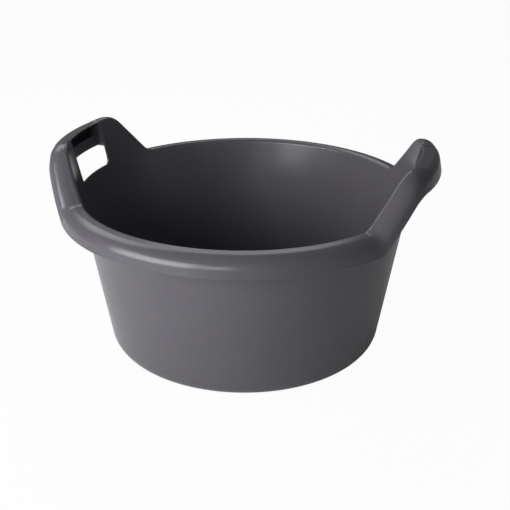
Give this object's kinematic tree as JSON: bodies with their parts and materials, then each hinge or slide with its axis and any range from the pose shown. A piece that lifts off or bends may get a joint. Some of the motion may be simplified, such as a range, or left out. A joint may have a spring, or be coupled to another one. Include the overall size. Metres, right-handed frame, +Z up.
{
  "type": "mixing tub",
  "caption": "Round flared plastic tub with a flat floor, a rolled rim with a hanging skirt, and raised hand grips over hand holes on opposite sides.",
  "frame": {"origin": "middle of the plane that the foot ring rests on", "axes": "+Z up; +X and -X through the two hand grips; +Y along the plain sides of the rim"},
  "size_m": [0.4694, 0.45, 0.2576],
  "materials": {
    "tub_plastic": "fine satin moulded"
  },
  "bodies": {
    "root": {"floor_panel": "tub_plastic", "foot_ring": "tub_plastic", "base_bend_right": "tub_plastic", "base_bend_back": "tub_plastic", "base_bend_left": "tub_plastic", "base_bend_front": "tub_plastic", "wall_right": "tub_plastic", "wall_back": "tub_plastic", "wall_left": "tub_plastic", "wall_front": "tub_plastic", "rim_back": "tub_plastic", "rim_front": "tub_plastic", "skirt_back": "tub_plastic", "skirt_front": "tub_plastic", "rim_climb_right_back": "tub_plastic", "rim_climb_right_front": "tub_plastic", "rim_climb_left_back": "tub_plastic", "rim_climb_left_front": "tub_plastic", "skirt_climb_right_back": "tub_plastic", "skirt_climb_right_front": "tub_plastic", "skirt_climb_left_back": "tub_plastic", "skirt_climb_left_front": "tub_plastic", "end_rib_right_back": "tub_plastic", "end_rib_right_front": "tub_plastic", "end_rib_left_back": "tub_plastic", "end_rib_left_front": "tub_plastic", "handle_panel_right": "tub_plastic", "handle_panel_left": "tub_plastic", "hand_grip_right": "tub_plastic", "hand_grip_left": "tub_plastic", "grip_band_right": "tub_plastic", "grip_band_left": "tub_plastic", "grip_web_right": "tub_plastic", "grip_web_left": "tub_plastic"}
  },
  "joints": []
}
